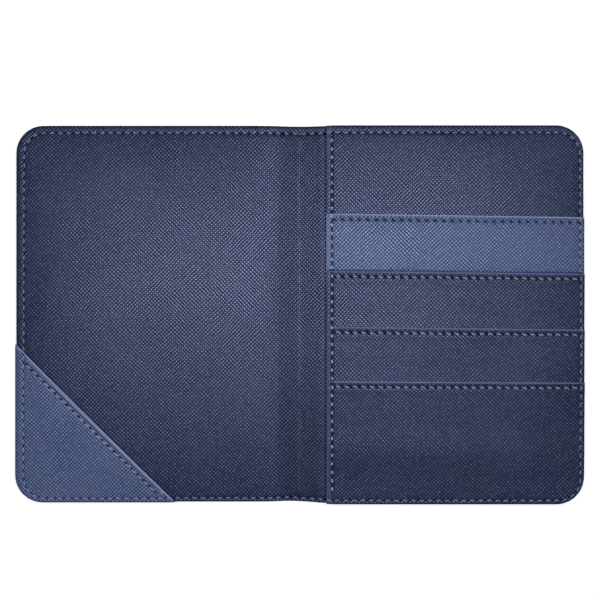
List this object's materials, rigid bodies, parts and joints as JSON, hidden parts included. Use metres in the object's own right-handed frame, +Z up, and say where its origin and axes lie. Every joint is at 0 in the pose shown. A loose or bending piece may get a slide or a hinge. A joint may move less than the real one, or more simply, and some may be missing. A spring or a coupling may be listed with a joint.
{
  "type": "passport holder",
  "caption": "Folding passport holder lying open: sleeve panel with shingled card pockets on one half, a triangular corner pocket on the other, and a soft spine between.",
  "frame": {"origin": "on the surface that the open holder lies on, under the middle of its outline", "axes": "+Z up out of the inner side, +X towards the back half with the card pockets, +Y towards the top edge, which the card pockets open to"},
  "size_m": [0.21, 0.14, 0.006],
  "materials": {
    "navy_saffiano": "cross-hatch grain, low sheen",
    "light_blue_saffiano": "cross-hatch grain, low sheen",
    "board": "grey pulp board, matt",
    "liner_fabric": "thin plain weave, matt",
    "thread": "twisted polyester, slight sheen"
  },
  "bodies": {
    "back_half": {"outer_cover_back": "navy_saffiano", "stiffener_back": "board", "lining_back": "navy_saffiano", "sleeve_panel": "navy_saffiano", "sleeve_hem_top": "navy_saffiano", "sleeve_hem_right": "navy_saffiano", "sleeve_hem_bottom": "navy_saffiano", "card_pocket_1": "light_blue_saffiano", "card_pocket_2": "navy_saffiano", "card_pocket_3": "navy_saffiano", "card_pocket_4": "navy_saffiano", "pocket_liner_1": "liner_fabric", "pocket_liner_2": "liner_fabric", "pocket_liner_3": "liner_fabric", "pocket_thread_1": "thread", "pocket_thread_2": "thread", "pocket_thread_3": "thread", "pocket_thread_4": "thread", "panel_edge_thread": "thread", "seam_thread_back": "thread", "bobbin_thread_back": "thread"},
    "spine": {"outer_cover_spine": "navy_saffiano", "lining_spine": "navy_saffiano", "seam_thread_spine_top": "thread", "seam_thread_spine_bottom": "thread", "bobbin_thread_spine_top": "thread", "bobbin_thread_spine_bottom": "thread"},
    "front_half": {"outer_cover_front": "navy_saffiano", "stiffener_front": "board", "lining_front": "navy_saffiano", "corner_pocket": "light_blue_saffiano", "corner_pocket_hem_left": "light_blue_saffiano", "corner_pocket_hem_bottom": "light_blue_saffiano", "corner_pocket_thread": "thread", "seam_thread_front": "thread", "bobbin_thread_front": "thread"}
  },
  "joints": [
    {"name": "back_crease", "type": "hinge", "parent": "back_half", "child": "spine", "pos_m": [0.005, 0, 0.00175], "axis": [0, 1, 0], "range_deg": [0, 90]},
    {"name": "front_crease", "type": "hinge", "parent": "spine", "child": "front_half", "pos_m": [-0.005, 0, 0.00175], "axis": [0, 1, 0], "range_deg": [0, 90]}
  ]
}
